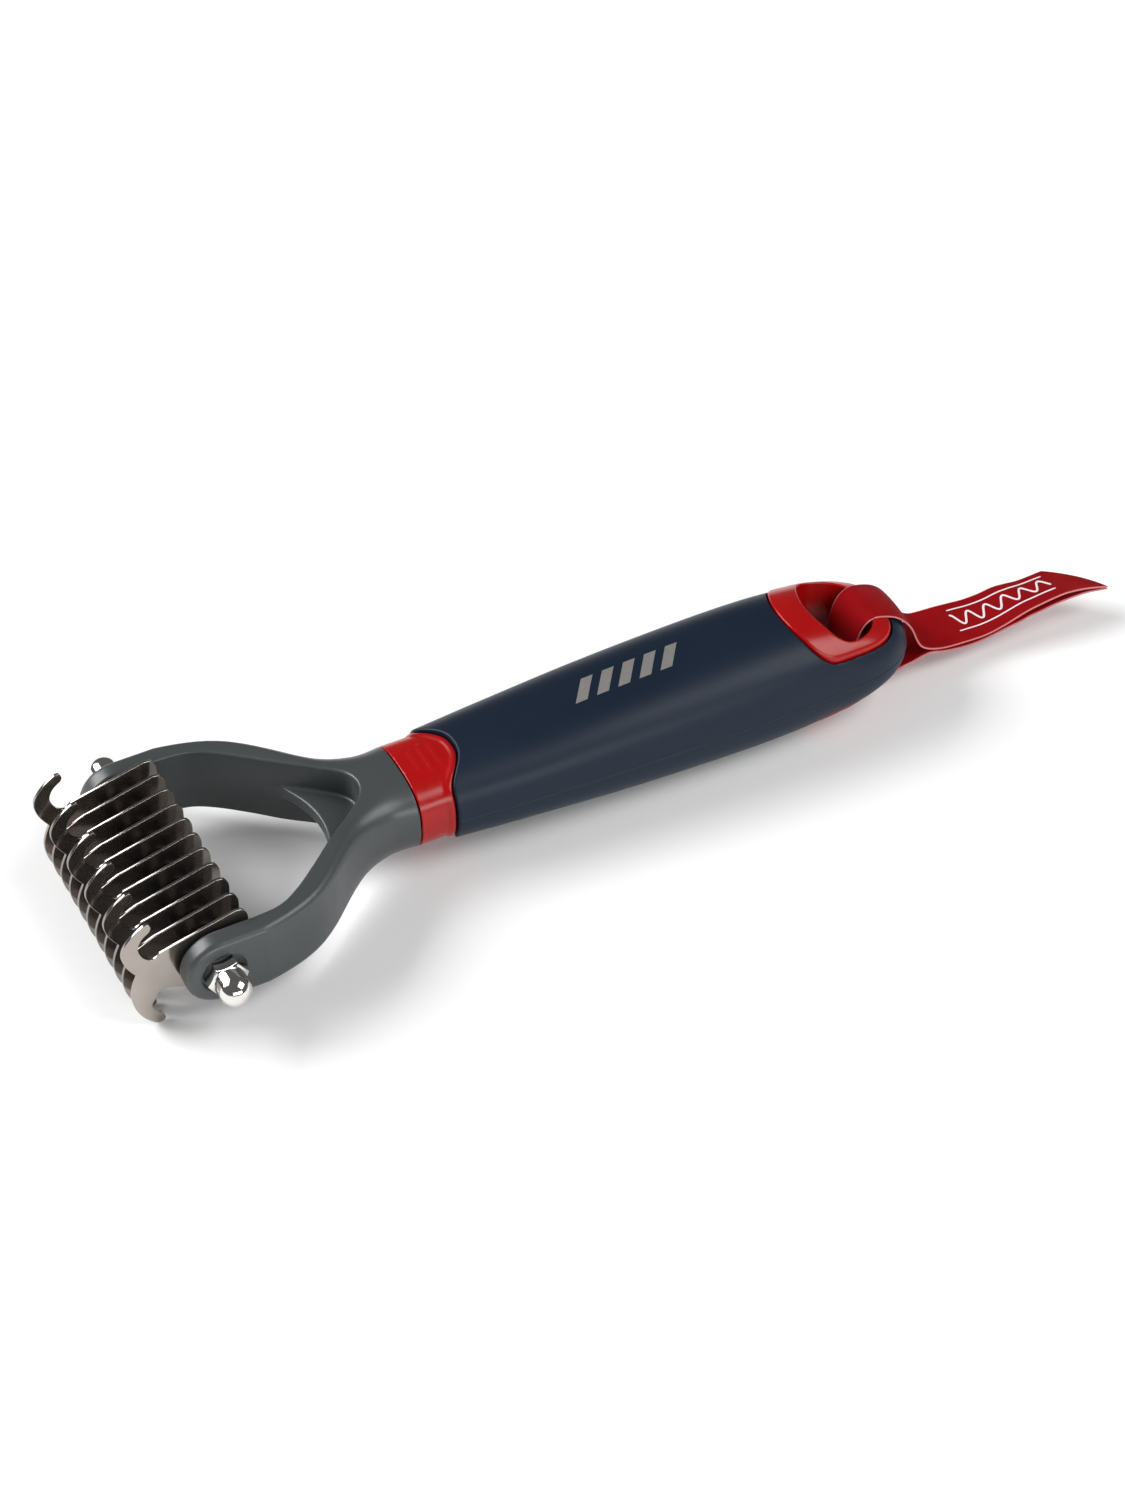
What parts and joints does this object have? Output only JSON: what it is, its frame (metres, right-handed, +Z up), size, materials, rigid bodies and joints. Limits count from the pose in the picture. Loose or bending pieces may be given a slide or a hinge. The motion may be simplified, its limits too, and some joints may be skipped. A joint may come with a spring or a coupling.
{
  "type": "undercoat rake",
  "caption": "Pet grooming rake: a row of hooked steel blades on an axle across a grey yoke, with a red collar, a navy soft grip and a red ribbon through the hanging hole.",
  "frame": {"origin": "under the middle of the whole rake, on the surface that it lies on", "axes": "+X along the handle from the blades to the ribbon, +Y along the axle to blade 1, +Z up through the side with the hanging hole's rim facing up"},
  "size_m": [0.2524, 0.0784, 0.0297],
  "materials": {
    "yoke_plastic": "satin grey moulded plastic",
    "core_plastic": "glossy red moulded plastic",
    "grip_rubber": "smooth navy soft-touch rubber with a low sheen",
    "blade_steel": "satin stainless steel with bright stamped edges",
    "spacer_steel": "turned steel",
    "chrome": "polished nickel plate",
    "ribbon_fabric": "red woven ribbon with a pale selvedge"
  },
  "bodies": {
    "handle": {"yoke": "yoke_plastic", "handle_core": "core_plastic", "grip_sleeve": "grip_rubber", "axle": "chrome", "cap_nut_left": "chrome", "cap_nut_right": "chrome", "ribbon_loop": "ribbon_fabric"},
    "blade_pack": {"blade_01": "blade_steel", "blade_02": "blade_steel", "blade_03": "blade_steel", "blade_04": "blade_steel", "blade_05": "blade_steel", "blade_06": "blade_steel", "blade_07": "blade_steel", "blade_08": "blade_steel", "blade_09": "blade_steel", "blade_10": "blade_steel", "blade_11": "blade_steel", "spacer_01": "spacer_steel", "spacer_02": "spacer_steel", "spacer_03": "spacer_steel", "spacer_04": "spacer_steel", "spacer_05": "spacer_steel", "spacer_06": "spacer_steel", "spacer_07": "spacer_steel", "spacer_08": "spacer_steel", "spacer_09": "spacer_steel", "spacer_10": "spacer_steel", "washer_left": "spacer_steel", "washer_right": "spacer_steel"},
    "ribbon_end": {"ribbon_flag": "ribbon_fabric"}
  },
  "joints": [
    {"name": "blade_pack_tilt", "type": "hinge", "parent": "handle", "child": "blade_pack", "pos_m": [-0.10629, 0, 0.01416], "axis": [0, 1, 0], "range_deg": [-60, 60]},
    {"name": "ribbon_swing", "type": "hinge", "parent": "handle", "child": "ribbon_end", "pos_m": [0.08091, 0, 0.00686], "axis": [0, 1, 0], "range_deg": [-75, 75]}
  ]
}
